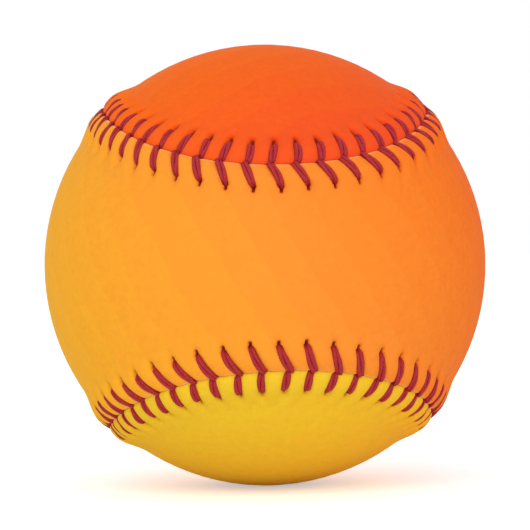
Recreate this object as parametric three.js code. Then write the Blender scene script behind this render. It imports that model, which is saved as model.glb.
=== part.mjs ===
// A hand-laced baseball, built in the order in which the real one is laid up: a moulded pill, four
// yarn windings over it, and two congruent figure-eight leather panels laced together by one
// unbroken waxed thread. Units are millimetres and +Z is up. The origin is the centre of the ball,
// the waist of cover_panel_a faces -Y, and the waist of cover_panel_b faces +Y.
import * as THREE from "three";

// Pill: a cork ball in two rubber half shells, which are closed again by two outer half shells
const CORK_DIAMETER = 20.6;
const INNER_RUBBER_WALL = 3.8;
const OUTER_RUBBER_WALL = 3.0;
const WASHER_THICKNESS = 0.8;

// Windings: how much each one adds to the radius, and the hole that its yarn's end is drawn through
const FIRST_WINDING_WALL = 13.9;
const SECOND_WINDING_WALL = 1.7;
const THIRD_WINDING_WALL = 2.1;
const FINISH_WINDING_WALL = 0.4;
const NEEDLE_HOLE_DIAMETER = 2.0;

// Cover
const LEATHER_THICKNESS = 1.1;
const RIDGE_HEIGHT = 0.55;
const RIDGE_SLOPE_WIDTH = 2.8;
const CREST_INSET = 2.2;
const PUFF_HEIGHT = 0.45;
const EDGE_ROLL = 0.3;

// Lacing
const STITCHES_PER_QUARTER = 27;
const HOLE_INSET = 4.4;
const THREAD_WIDTH = 0.95;
const THREAD_THICKNESS = 0.5;
const STITCH_LEAD_A = 2.6;
const STITCH_LEAD_B = 0.95;
const THREAD_END_DEPTH = 0.5;

// Clearances: between nested layers, round the thread, and round it in its holes
const LAYER_GAP = 0.1;
const THREAD_GAP = 0.1;
const HOLE_CLEARANCE = 0.25;

// Shape of the seam on a unit sphere: the share of its third and fifth waves in its first
const SEAM_THIRD_WAVE = 0.41;
const SEAM_FIFTH_WAVE = 0.0195;

// Facets
const INNER_SEGMENTS = 16;
const OUTER_SEGMENTS = 24;
const SEAM_LENGTH_SAMPLES = 4320;
const PANEL_STEPS_TO_SPINE = 5;

// Radii, each taken from the layer that it covers
const corkRadius = CORK_DIAMETER / 2;
const innerRubber = layerOver(corkRadius, INNER_RUBBER_WALL);
const outerRubber = layerOver(innerRubber.outside, OUTER_RUBBER_WALL);
const firstWinding = layerOver(outerRubber.outside, FIRST_WINDING_WALL);
const secondWinding = layerOver(firstWinding.outside, SECOND_WINDING_WALL);
const thirdWinding = layerOver(secondWinding.outside, THIRD_WINDING_WALL);
const finishWinding = layerOver(thirdWinding.outside, FINISH_WINDING_WALL);

// The seam: one closed curve on the unit sphere, which swings four times across the ball
class SeamCurve extends THREE.Curve {
  getPoint(share, target = new THREE.Vector3()) {
    const t = share * 2 * Math.PI;
    const right = -Math.sin(t) - SEAM_THIRD_WAVE * Math.sin(3 * t) - SEAM_FIFTH_WAVE * Math.sin(5 * t);
    const up = Math.cos(t) - SEAM_THIRD_WAVE * Math.cos(3 * t) + SEAM_FIFTH_WAVE * Math.cos(5 * t);
    const away = -2 * Math.sqrt(SEAM_THIRD_WAVE) * Math.cos(2 * t);
    return target.set(right, away, up).normalize();
  }

  // The curve is closed, so its start has a neighbour on either side as any other point does
  getTangent(share, target = new THREE.Vector3()) {
    const step = 1e-4;
    const ahead = this.getPoint(share + step);
    return target.copy(ahead).sub(this.getPoint(share - step)).normalize();
  }
}
const seam = new SeamCurve();
seam.arcLengthDivisions = SEAM_LENGTH_SAMPLES;
const stitches = 4 * STITCHES_PER_QUARTER;
const ridgeFoot = HOLE_INSET + RIDGE_SLOPE_WIDTH;

// The cover stands off the yarn by the dip of its own widest flat facet, so that none cuts into it
const lobeReach = seam.getPoint(0).angleTo(new THREE.Vector3(0, 0, 1));
const facetInward = (lobeReach - ridgeFoot / finishWinding.outside) / PANEL_STEPS_TO_SPINE;
const facetAlong = (2 * seam.getLength()) / stitches;
const facetDip = finishWinding.outside * (1 - Math.cos(Math.hypot(facetInward, facetAlong) / 2));
const cover = layerOver(finishWinding.outside + facetDip, LEATHER_THICKNESS);
const seamLength = seam.getLength() * cover.outside;
const pitch = seamLength / stitches;

// The leather's ridge along the seam, and the thread that runs close under it and close over it
const ridgeInside = cover.inside + RIDGE_HEIGHT;
const ridgeOutside = ridgeInside + LEATHER_THICKNESS;
const strandDip = dipOfChord(HOLE_INSET, STITCH_LEAD_A);
const overRunRadius = ridgeOutside + THREAD_GAP + THREAD_THICKNESS / 2 + strandDip;
const underRunRadius = ridgeInside - THREAD_GAP - THREAD_THICKNESS / 2;
const seamHalfGap = THREAD_THICKNESS / 2 + THREAD_GAP;
const holeHalfAlong = THREAD_WIDTH / 2 + HOLE_CLEARANCE;
const holeHalfAcross = THREAD_THICKNESS / 2 + HOLE_CLEARANCE;

function layerOver(radius, wall) {
  const inside = radius + LAYER_GAP;
  return { inside, outside: inside + wall };
}

function dipOfChord(across, along) {
  return Math.hypot(across, along) ** 2 / (8 * ridgeOutside);
}

// The point at a place along the seam, in millimetres, at a distance across it and at a radius.
// Distances across are positive on the side of cover_panel_a.
function seamPoint(along, across, radius) {
  const share = THREE.MathUtils.euclideanModulo(along / seamLength, 1);
  const onSeam = seam.getPointAt(share);
  const forward = seam.getTangentAt(share);
  const sideways = onSeam.clone().cross(forward).normalize();
  const angle = across / cover.outside;
  onSeam.multiplyScalar(Math.cos(angle)).addScaledVector(sideways, Math.sin(angle));
  return onSeam.multiplyScalar(radius);
}

// Rounds of a faceted sphere in profile, from the +Y pole down to a height or to the other pole
function profileArc(radius, segments, lowest = -Infinity) {
  const stacks = segments / 2;
  const arc = [];
  for (let i = 0; i <= stacks; i++) {
    const angle = (i / stacks) * Math.PI;
    const point = new THREE.Vector2(radius * Math.sin(angle), radius * Math.cos(angle));
    if (point.y < lowest) {
      const above = arc.at(-1);
      arc.push(above.clone().lerp(point, (above.y - lowest) / (above.y - point.y)));
      break;
    }
    arc.push(point);
  }
  arc[0].x = 0;
  if (lowest === -Infinity) arc.at(-1).x = 0;
  return arc;
}

// Solid ball
function ballGeometry(radius, segments) {
  return new THREE.LatheGeometry(profileArc(radius, segments).reverse(), segments);
}

// Half shell on the +Y side, cut square across at its rim
function halfShellGeometry(layer, rimHeight, segments) {
  const inside = profileArc(layer.inside, segments, rimHeight);
  const outside = profileArc(layer.outside, segments, rimHeight).reverse();
  return new THREE.LatheGeometry([...inside, ...outside], segments);
}

// Flat washer between the rims of the inner half shells
function washerGeometry(layer, bottom, top, segments) {
  const corner = (radius, height) => profileArc(radius, segments, height).at(-1);
  const ring = [
    corner(layer.inside, top),
    corner(layer.inside, bottom),
    corner(layer.outside, bottom),
    corner(layer.outside, top),
  ];
  return new THREE.LatheGeometry([...ring, ring[0]], segments);
}

// Yarn shell with its needle hole at the +Y pole
function windingGeometry(layer, insideSegments, outsideSegments) {
  const throughHole = (radius, segments) => {
    const arc = profileArc(radius, segments);
    const share = NEEDLE_HOLE_DIAMETER / 2 / arc[1].x;
    arc[0].lerp(arc[1], share);
    return arc;
  };
  const outside = throughHole(layer.outside, outsideSegments).reverse();
  const inside = throughHole(layer.inside, insideSegments);
  return shellOfTwoFacetings(outside, outsideSegments, inside, insideSegments);
}

// A small builder for closed surfaces: rings of vertices, and strips of triangles between them
class Surface {
  constructor() {
    this.positions = [];
    this.triangles = [];
  }

  point(position) {
    this.positions.push(position.x, position.y, position.z);
    return this.positions.length / 3 - 1;
  }

  ring(positions) {
    return positions.map((position) => this.point(position));
  }

  fan(corners) {
    for (let i = 1; i < corners.length - 1; i++) {
      this.triangles.push(corners[0], corners[i], corners[i + 1]);
    }
  }

  // Joins two closed rings that may differ in their number of vertices. Each starts at the same place.
  strip(first, second) {
    let i = 0;
    let j = 0;
    while (i < first.length || j < second.length) {
      const a = first[i % first.length];
      const b = second[j % second.length];
      const firstIsBehind = (i + 0.5) * second.length <= (j + 0.5) * first.length;
      if (j >= second.length || (i < first.length && firstIsBehind)) {
        i += 1;
        this.fan([a, first[i % first.length], b]);
      } else {
        j += 1;
        this.fan([a, second[j % second.length], b]);
      }
    }
  }

  // Turns every triangle round from a place in the list on
  flip(start) {
    for (let i = start; i < this.triangles.length; i += 3) {
      [this.triangles[i + 1], this.triangles[i + 2]] = [this.triangles[i + 2], this.triangles[i + 1]];
    }
  }

  geometry() {
    const kept = [];
    for (let i = 0; i < this.triangles.length; i += 3) {
      const [a, b, c] = this.triangles.slice(i, i + 3);
      if (a !== b && b !== c && c !== a) kept.push(a, b, c);
    }
    const made = new THREE.BufferGeometry();
    made.setAttribute("position", new THREE.Float32BufferAttribute(this.positions, 3));
    made.setIndex(kept);
    made.computeVertexNormals();
    return made;
  }
}

// A shell whose outer profile, from the -Y pole up, and inner profile, back down, differ in facets
function shellOfTwoFacetings(outside, outsideSegments, inside, insideSegments) {
  const surface = new Surface();
  const turn = (point, segments) =>
    point.x === 0
      ? [surface.point(new THREE.Vector3(0, point.y, 0))]
      : surface.ring(
          Array.from({ length: segments }, (_, i) => {
            const angle = (i / segments) * 2 * Math.PI;
            return new THREE.Vector3(point.x * Math.cos(angle), point.y, -point.x * Math.sin(angle));
          }),
        );
  const rings = [
    ...outside.map((point) => turn(point, outsideSegments)),
    ...inside.map((point) => turn(point, insideSegments)),
  ];
  rings.slice(1).forEach((ring, i) => surface.strip(rings[i], ring));
  return surface.geometry();
}

// One die-cut leather panel. Its edge, its laced ridge and its holes follow the seam, and its field
// runs in to a spine from one lobe's centre, past the waist, to the other's. The leather puffs up
// between the strands, whose beds lean with them: lead is how far a strand runs on along the seam.
function coverPanelGeometry(side, lead) {
  const surface = new Surface();
  const starts = Array.from({ length: stitches }, (_, i) => i * pitch);
  const place = (start, across, radius) => {
    const lean = lead * Math.max(0, 1 - across / HOLE_INSET);
    return seamPoint(start + lean, side * across, radius);
  };
  const row = (across, radius) => surface.ring(starts.map((start) => place(start, across, radius)));
  const everyOther = (across, radius) =>
    surface.ring(starts.filter((_, i) => i % 2 === 0).map((start) => place(start, across, radius)));

  const edgeInside = row(seamHalfGap, ridgeInside);
  const edgeOutside = row(seamHalfGap, ridgeOutside - EDGE_ROLL);
  const crest = surface.ring(
    starts.flatMap((start) => [
      place(start, CREST_INSET, ridgeOutside),
      place(start + pitch / 2, CREST_INSET, ridgeOutside + PUFF_HEIGHT),
    ]),
  );
  const footOutside = row(ridgeFoot, cover.outside);
  const footInside = everyOther(ridgeFoot, cover.inside);
  const holesOutside = holeCorners(surface, side, starts, ridgeOutside);
  const holesInside = holeCorners(surface, side, starts, ridgeInside);

  surface.strip(edgeInside, edgeOutside);
  surface.strip(edgeOutside, crest);
  puffStrip(surface, crest, holesOutside);
  slopeStrip(surface, holesOutside, footOutside);
  const field = everyOther(ridgeFoot + pitch, cover.outside);
  surface.strip(footOutside, field);
  fillToSpine(surface, side, field, cover.outside);

  const insideStart = surface.triangles.length;
  bedStrip(surface, edgeInside, holesInside);
  slopeStrip(surface, holesInside, footInside);
  fillToSpine(surface, side, footInside, cover.inside);
  surface.flip(insideStart);

  holesOutside.forEach((outer, i) => surface.strip(outer, holesInside[i]));
  if (side < 0) surface.flip(0);
  return surface.geometry();
}

// The four corners of each lacing hole: nearest the seam, ahead, farthest from the seam, behind
function holeCorners(surface, side, starts, radius) {
  return starts.map((start) => [
    surface.point(seamPoint(start, side * (HOLE_INSET - holeHalfAcross), radius)),
    surface.point(seamPoint(start + holeHalfAlong, side * HOLE_INSET, radius)),
    surface.point(seamPoint(start, side * (HOLE_INSET + holeHalfAcross), radius)),
    surface.point(seamPoint(start - holeHalfAlong, side * HOLE_INSET, radius)),
  ]);
}

// Outer leather from the crest to the holes. The crest's vertices lie in turn in a bed and on a puff.
function puffStrip(surface, crest, holes) {
  holes.forEach((hole, i) => {
    const next = (i + 1) % holes.length;
    surface.fan([crest[2 * i + 1], crest[2 * next], holes[next][0], hole[0], crest[2 * i]]);
  });
}

// Inner leather from the edge to the holes
function bedStrip(surface, edge, holes) {
  holes.forEach((hole, i) => {
    const next = (i + 1) % holes.length;
    surface.fan([edge[i], edge[next], holes[next][0], hole[0]]);
  });
}

// Leather between the holes, and from them to a foot ring of as many vertices or of half as many
function slopeStrip(surface, holes, foot) {
  const holesToFoot = holes.length / foot.length;
  holes.forEach((hole, i) => {
    const ahead = holes[(i + 1) % holes.length];
    const footHere = foot[Math.floor(i / holesToFoot)];
    const footAhead = foot[Math.floor((i + 1) / holesToFoot) % foot.length];
    surface.fan([hole[0], ahead[0], ahead[3], hole[1]]);
    surface.fan([hole[1], ahead[3], ahead[2], hole[2]]);
    surface.fan([hole[2], ahead[2], footAhead, footHere]);
  });
}

// The smooth field of a panel, from a ring in to its spine
function fillToSpine(surface, side, outerRing, radius) {
  const vertex = (index) => new THREE.Vector3().fromArray(surface.positions, index * 3);
  const lobe = side > 0 ? new THREE.Vector3(1, 0, 0) : new THREE.Vector3(0, 0, 1);
  const spine = outerRing.map((index) => {
    const start = vertex(index);
    const onLobeAxis = lobe.clone().multiplyScalar(start.dot(lobe));
    if (start.y * side < 0) onLobeAxis.y = start.y;
    return onLobeAxis.setLength(radius);
  });
  let ring = outerRing;
  for (let step = 1; step < PANEL_STEPS_TO_SPINE; step++) {
    const share = step / PANEL_STEPS_TO_SPINE;
    const inner = surface.ring(
      outerRing.map((index, i) => vertex(index).lerp(spine[i], share).setLength(radius)),
    );
    surface.strip(ring, inner);
    ring = inner;
  }
  const shared = new Map();
  const spineRing = spine.map((position) => {
    const key = position.toArray().map((value) => Math.round(value * 1000)).join();
    if (!shared.has(key)) shared.set(key, surface.point(position));
    return shared.get(key);
  });
  surface.strip(ring, spineRing);
}

// The lacing thread: its middle lies under the first pair of holes. Each half then crosses from
// side to side: up through a hole, over the leather to the seam, down between the two edges, and
// under the other panel to that panel's next hole. The ends are pushed down between the edges.
function threadPath() {
  const stop = (along, across, radius) => {
    const ahead = seamPoint(along + pitch / 2, across, radius);
    const behind = seamPoint(along - pitch / 2, across, radius);
    return { at: seamPoint(along, across, radius), breadth: ahead.sub(behind) };
  };
  const half = (firstSide) => {
    const path = [];
    for (let i = 0; i < stitches; i++) {
      const side = i % 2 === 0 ? firstSide : -firstSide;
      const hole = i * pitch;
      const dive = hole + (side > 0 ? STITCH_LEAD_A : STITCH_LEAD_B);
      const isLast = i === stitches - 1;
      path.push(stop(hole, side * HOLE_INSET, underRunRadius));
      path.push(stop(hole, side * HOLE_INSET, overRunRadius));
      path.push(stop(dive, 0, overRunRadius));
      path.push(stop(dive, 0, isLast ? overRunRadius - THREAD_END_DEPTH : underRunRadius));
    }
    return path;
  };
  return [...half(-1).reverse(), stop(-STITCH_LEAD_B, 0, underRunRadius), ...half(1)];
}

// Sweeps the thread's four-sided section along its path, mitred at each bend
function threadGeometry(path) {
  const surface = new Surface();
  const rings = path.map(({ at, breadth }, i) => {
    const arriving = at.clone().sub(path[Math.max(i - 1, 0)].at).normalize();
    const leaving = path[Math.min(i + 1, path.length - 1)].at.clone().sub(at).normalize();
    const heading = arriving.clone().add(leaving).normalize();
    const wide = breadth.clone().addScaledVector(heading, -breadth.dot(heading)).normalize();
    const mitre = Math.max(arriving.dot(heading), leaving.dot(heading));
    const thick = heading.clone().cross(wide).multiplyScalar(THREAD_THICKNESS / 2 / mitre);
    wide.multiplyScalar(THREAD_WIDTH / 2);
    return surface.ring([
      at.clone().add(wide),
      at.clone().add(thick),
      at.clone().sub(wide),
      at.clone().sub(thick),
    ]);
  });
  rings.slice(1).forEach((ring, i) => surface.strip(rings[i], ring));
  surface.fan([...rings[0]].reverse());
  surface.fan(rings.at(-1));
  return surface.geometry();
}

// Least gap between stretches of the thread that don't follow each other, on points of its middle line
function leastThreadGap(path) {
  const samplesPerLeg = 4;
  const strandLegs = 4;
  const samples = [];
  path.slice(1).forEach(({ at }, leg) => {
    for (let k = 0; k < samplesPerLeg; k++)
      samples.push({ leg, at: path[leg].at.clone().lerp(at, k / samplesPerLeg) });
  });
  let least = Infinity;
  samples.forEach((one, i) => {
    for (const other of samples.slice(i + 1)) {
      if (other.leg - one.leg >= strandLegs) least = Math.min(least, one.at.distanceTo(other.at));
    }
  });
  return least - THREAD_WIDTH;
}

// Materials, coloured as the photographed ball's cover and thread, and as the usual core
const cork = new THREE.MeshStandardMaterial({ color: "#9a6b42", roughness: 0.9 });
const blackRubber = new THREE.MeshStandardMaterial({ color: "#1d1c1b", roughness: 0.7 });
const redRubber = new THREE.MeshStandardMaterial({ color: "#8f2a22", roughness: 0.65 });
const greyWool = new THREE.MeshStandardMaterial({ color: "#7c7f88", roughness: 0.95 });
const whiteWool = new THREE.MeshStandardMaterial({ color: "#e9e5d8", roughness: 0.95 });
const finishYarn = new THREE.MeshStandardMaterial({ color: "#f2efe6", roughness: 0.85 });
const amberLeather = new THREE.MeshStandardMaterial({ color: "#fb9836", roughness: 0.5 });
const flameLeather = new THREE.MeshStandardMaterial({ color: "#f2902c", roughness: 0.5 });
const waxedThread = new THREE.MeshStandardMaterial({ color: "#a8213a", roughness: 0.55 });

const ball = new THREE.Group();

function addPiece(name, geometry, material) {
  const mesh = new THREE.Mesh(geometry, material);
  mesh.name = name;
  ball.add(mesh);
  return mesh;
}

// Pill
addPiece("cork_core", ballGeometry(corkRadius, INNER_SEGMENTS), cork);
const washerTop = LAYER_GAP / 2 + WASHER_THICKNESS;
const innerRim = washerTop + LAYER_GAP;
const washer = washerGeometry(innerRubber, LAYER_GAP / 2, washerTop, INNER_SEGMENTS);
const innerHalf = halfShellGeometry(innerRubber, innerRim, INNER_SEGMENTS);
const outerHalf = halfShellGeometry(outerRubber, LAYER_GAP / 2, INNER_SEGMENTS);
addPiece("inner_rubber_half_rear", innerHalf, blackRubber);
addPiece("inner_rubber_half_front", innerHalf, blackRubber).rotation.z = Math.PI;
addPiece("rubber_washer_rear", washer, redRubber);
addPiece("rubber_washer_front", washer, redRubber).rotation.z = Math.PI;
addPiece("outer_rubber_half_rear", outerHalf, redRubber);
addPiece("outer_rubber_half_front", outerHalf, redRubber).rotation.z = Math.PI;

// Windings
addPiece("first_winding", windingGeometry(firstWinding, INNER_SEGMENTS, INNER_SEGMENTS), greyWool);
addPiece("second_winding", windingGeometry(secondWinding, INNER_SEGMENTS, INNER_SEGMENTS), whiteWool);
addPiece("third_winding", windingGeometry(thirdWinding, INNER_SEGMENTS, INNER_SEGMENTS), greyWool);
addPiece("finish_winding", windingGeometry(finishWinding, INNER_SEGMENTS, OUTER_SEGMENTS), finishYarn);

// Cover
addPiece("cover_panel_a", coverPanelGeometry(1, STITCH_LEAD_A), amberLeather);
addPiece("cover_panel_b", coverPanelGeometry(-1, STITCH_LEAD_B), flameLeather);

// Lacing
const path = threadPath();
addPiece("seam_thread", threadGeometry(path), waxedThread);
console.log(`thread's least gap to itself: ${leastThreadGap(path).toFixed(2)} mm`);

export default ball;
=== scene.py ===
"""A hand-laced baseball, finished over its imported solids: two printed leather panels with a puffed,
punched ridge, one two-ply waxed thread through all their holes, and the wound core under them.

Lengths are in metres in Blender's own units. The row frame is the solids' frame: +Z up, the waist of
the first panel towards -Y, the waist of the second towards +Y.
"""

import math

import bpy
import numpy as np
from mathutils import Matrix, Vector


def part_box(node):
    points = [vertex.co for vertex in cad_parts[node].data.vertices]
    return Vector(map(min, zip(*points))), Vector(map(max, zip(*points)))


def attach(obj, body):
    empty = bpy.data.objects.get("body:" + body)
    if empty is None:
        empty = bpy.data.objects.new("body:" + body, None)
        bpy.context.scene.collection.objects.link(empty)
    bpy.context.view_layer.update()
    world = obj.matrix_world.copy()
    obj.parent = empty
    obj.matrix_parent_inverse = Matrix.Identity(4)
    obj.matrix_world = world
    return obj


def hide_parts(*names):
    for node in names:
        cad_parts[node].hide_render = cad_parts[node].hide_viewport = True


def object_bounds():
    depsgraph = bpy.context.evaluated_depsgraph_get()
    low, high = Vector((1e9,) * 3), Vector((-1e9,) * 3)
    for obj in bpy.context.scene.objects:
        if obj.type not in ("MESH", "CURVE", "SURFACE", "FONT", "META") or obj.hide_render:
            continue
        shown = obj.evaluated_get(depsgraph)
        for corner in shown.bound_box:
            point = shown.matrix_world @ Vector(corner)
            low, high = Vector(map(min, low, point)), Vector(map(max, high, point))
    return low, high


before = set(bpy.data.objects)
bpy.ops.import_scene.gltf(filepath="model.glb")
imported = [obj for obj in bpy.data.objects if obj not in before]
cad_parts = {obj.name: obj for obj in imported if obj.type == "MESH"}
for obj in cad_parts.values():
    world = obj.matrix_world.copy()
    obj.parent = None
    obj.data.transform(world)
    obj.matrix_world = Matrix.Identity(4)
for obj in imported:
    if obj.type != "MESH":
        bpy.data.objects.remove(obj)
solids_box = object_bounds()

bl_info = {
    "name": "Laced Ball",
    "version": (1, 0, 0),
    "blender": (4, 5, 0),
    "location": "View3D > Sidebar > Ball",
    "description": "Leather cover, lacing, wound core and studio of a hand-laced ball",
    "category": "Object",
}

MM = 0.001
MERGE_DISTANCE = 0.002 * MM

# The ball's field, from the solids: a lobe's centre is the farthest point of its panel
FIELD_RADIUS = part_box("cover_panel_a")[1].x

# The seam on a unit sphere: the share of its third and fifth waves in its first, the number of steps in
# which its length is measured, and its curves, each round the lobe of one panel
SEAM_THIRD_WAVE = 0.41
SEAM_FIFTH_WAVE = 0.0195
SEAM_SAMPLES = 8640
SEAM_CURVES = 4

# A panel's mesh: the places of its columns between the middles of two puffs, as shares of the pitch,
# the distances of its first rows from its edge, the space between the rows round the holes, and the
# numbers of rows on the crest, on the ridge's foot and on the field outside and inside
COLUMNS = (-0.4, -0.3, -0.21, -0.14, -0.085, -0.04, 0.0, 0.04, 0.085, 0.14, 0.21, 0.3, 0.4, 0.5)
EDGE_ROWS = (0.0, 0.08 * MM, 0.2 * MM, 0.35 * MM, 0.55 * MM, 0.8 * MM)
HOLE_ROW_STEP = 0.18 * MM
CREST_STEPS = 7
FOOT_STEPS = 5
FIELD_STEPS = 9
INNER_FIELD_STEPS = 3

# Where those rows lie: the crest's from its start to a margin before the holes, the holes' from a margin
# before them to one behind the slits, the foot's from a gap behind those to a reach past the ridge, and
# the innermost one's distance from the seam
CREST_START = 1.1 * MM
CREST_MARGIN = 1.0 * MM
HOLE_MARGIN = 0.8 * MM
SLIT_MARGIN = 0.2 * MM
FOOT_GAP = 0.35 * MM
FOOT_REACH = 1.2 * MM
INNER_EDGE = 0.05 * MM

# Shares of a puff's height that are missing at the cut edge, from the tight roll and from the wide one,
# and how much a puff's height varies for each millimetre of scatter
TIGHT_ROLL = 0.35
WIDE_ROLL = 0.3
PUFF_VARIETY = 0.9

# The groove that a strand presses fades out between a distance behind its hole and one before the
# ridge's foot
GROOVE_BEHIND_HOLE = 1.2 * MM
GROOVE_BEFORE_FOOT = 0.6 * MM

# The run of a hole's leather along the seam fades out between these distances, in hole insets
LEAN_FADE = (1.3, 1.8)

# A hole: the shares of its slit's length between which it closes, the distances from its strand's end
# between which it opens and its mouth narrows, the share of its width that is left where it is closed,
# the shares of its half width between which its side slopes, the slit's depth as a share of the mouth's,
# and how much wider a longer slit is, as a share of its extra length
HOLE_CLOSES = (0.4, 1.05)
HOLE_OPENS = (-0.75 * MM, -0.45 * MM)
MOUTH_NARROWS = (-0.2 * MM, 0.3 * MM)
CLOSED_WIDTH = 0.4
HOLE_SIDE = (0.5, 1.2)
SLIT_DEPTH_SHARE = 0.7
WIDER_HOLE = 0.35

# The gap between the panels' edges, and how it opens where a strand dives between them: how much more,
# how far along the seam and how far away from it
EDGE_GAP = 0.01 * MM
NOTCH_GAP = 0.04 * MM
NOTCH_HALF_LENGTH = 0.6 * MM
NOTCH_REACH = 0.8 * MM

# Painted shade, a faint dark line along the cut edge where the panels meet: its strength and how far it
# reaches
RIM_PAINTED_SHADE = 0.2
RIM_REACH = 0.08 * MM

# The first panel's cut edge is pale, partly as raw leather and partly as painted highlight where it
# catches the light: how wide, and how strongly it shows through the print
PALE_EDGE_WIDTH = 0.3 * MM
PALE_EDGE_SHARE = 0.5

# The thread's mesh: steps over a strand and under the leather, and sides of a ply
STRAND_STEPS = 16
HIDDEN_STEPS = 5
PLY_SIDES = 8

# A strand: how far short of its hole's place it comes up, how far from the seam it goes down on each
# side (past the seam where negative), how far it rises there, its bow to one side, the depth its ends
# dive under the leather, the share of its length that each dive takes, and its height over its bed in
# ply radii
STRAND_START = 0.15 * MM
STRAND_END = {1: -0.3 * MM, -1: 0.22 * MM}
STRAND_RISE = {1: 0.2 * MM, -1: -0.1 * MM}
STRAND_BOW = 0.1 * MM
DIVE_DEPTH = 0.9 * MM
DIVE_SHARE = 0.11
STRAND_LIFT = 0.95

# The plies' distance from the thread's middle, as shares of the full one: at a strand's ends, and how
# much is added halfway
END_SPREAD = 0.72
ADDED_SPREAD = 0.42

# Seeds of the scatter on each side of the seam: of the holes along it and across it, of the puffs'
# heights and of the strands' bows
ALONG_SEEDS = {1: 3, -1: 4}
ACROSS_SEEDS = {1: 5, -1: 6}
PUFF_SEEDS = {1: 8, -1: 6}
BOW_SEEDS = {1: 10, -1: 8}

# Painted shade inside a hole: the shares of the leather's red, green and blue that are left there, and
# its alpha
HOLE_PAINTED_SHADE = (0.27, 0.14, 0.1, 1.0)

# The print's bands: how many go round the ball, how hard they are, how far their borders slant and
# waver, and by what share of a turn they are moved on
BANDS = 31
BAND_HARDNESS = 0.75
BAND_SLANT = 0.6
BAND_WAVER = 0.3
BAND_OFFSET = 0.475

# Where the print's five colours stand along a panel, in degrees round the ball from its waist
COLOUR_ANGLES = (-154, -90, 0, 90, 154)

# The floor, large enough to run out of every view, how much it glows, and how much more it does to the
# camera; and the photograph's width in pixels
FLOOR_SIZE = 6.0
FLOOR_GLOW = 0.04
SEEN_GLOW = 0.38
PHOTO_SIZE = 530


# Seam

def seam_curve(t):
    """Points of the seam on the unit sphere, with its forward and its sideways directions."""
    raw = np.stack([
        -np.sin(t) - SEAM_THIRD_WAVE * np.sin(3 * t) - SEAM_FIFTH_WAVE * np.sin(5 * t),
        -2 * math.sqrt(SEAM_THIRD_WAVE) * np.cos(2 * t),
        np.cos(t) - SEAM_THIRD_WAVE * np.cos(3 * t) + SEAM_FIFTH_WAVE * np.cos(5 * t),
    ], axis=-1)
    slope = np.stack([
        -np.cos(t) - 3 * SEAM_THIRD_WAVE * np.cos(3 * t) - 5 * SEAM_FIFTH_WAVE * np.cos(5 * t),
        4 * math.sqrt(SEAM_THIRD_WAVE) * np.sin(2 * t),
        -np.sin(t) + 3 * SEAM_THIRD_WAVE * np.sin(3 * t) - 5 * SEAM_FIFTH_WAVE * np.sin(5 * t),
    ], axis=-1)
    point = unit(raw)
    forward = unit(slope - point * np.sum(point * slope, axis=-1, keepdims=True))
    return point, forward, np.cross(point, forward)


def unit(vectors):
    """Vectors scaled to length one."""
    return vectors / np.linalg.norm(vectors, axis=-1, keepdims=True)


def seam_table():
    """The seam's parameter against its length on the unit sphere."""
    t = np.linspace(0, 2 * math.pi, SEAM_SAMPLES + 1)
    point = seam_curve(t)[0]
    steps = np.linalg.norm(np.diff(point, axis=0), axis=1)
    return t, np.concatenate([[0], np.cumsum(steps)])


SEAM_T, SEAM_RUN = seam_table()


def on_ball(along, across, height):
    """Points at places along the seam, at distances across it and at heights over the field."""
    t = np.interp(np.mod(along / FIELD_RADIUS, SEAM_RUN[-1]), SEAM_RUN, SEAM_T)
    point, _, sideways = seam_curve(t)
    angle = (across / FIELD_RADIUS)[..., None]
    return (np.cos(angle) * point + np.sin(angle) * sideways) * (FIELD_RADIUS + height)[..., None]


def forward_on_ball(along):
    """The seam's forward direction at places along it."""
    t = np.interp(np.mod(along / FIELD_RADIUS, SEAM_RUN[-1]), SEAM_RUN, SEAM_T)
    return seam_curve(t)[1]


def ease(low, high, value):
    """0 below low, 1 above high, and a smooth step between them."""
    share = np.clip((value - low) / (high - low), 0, 1)
    return share * share * (3 - 2 * share)


# Settings

def display_colour(red, green, blue):
    """A colour given as it is seen, in 255ths, as Blender's linear values."""
    def linear(value):
        value /= 255
        return value / 12.92 if value <= 0.04045 else ((value + 0.055) / 1.055) ** 2.4
    return linear(red), linear(green), linear(blue)


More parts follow.
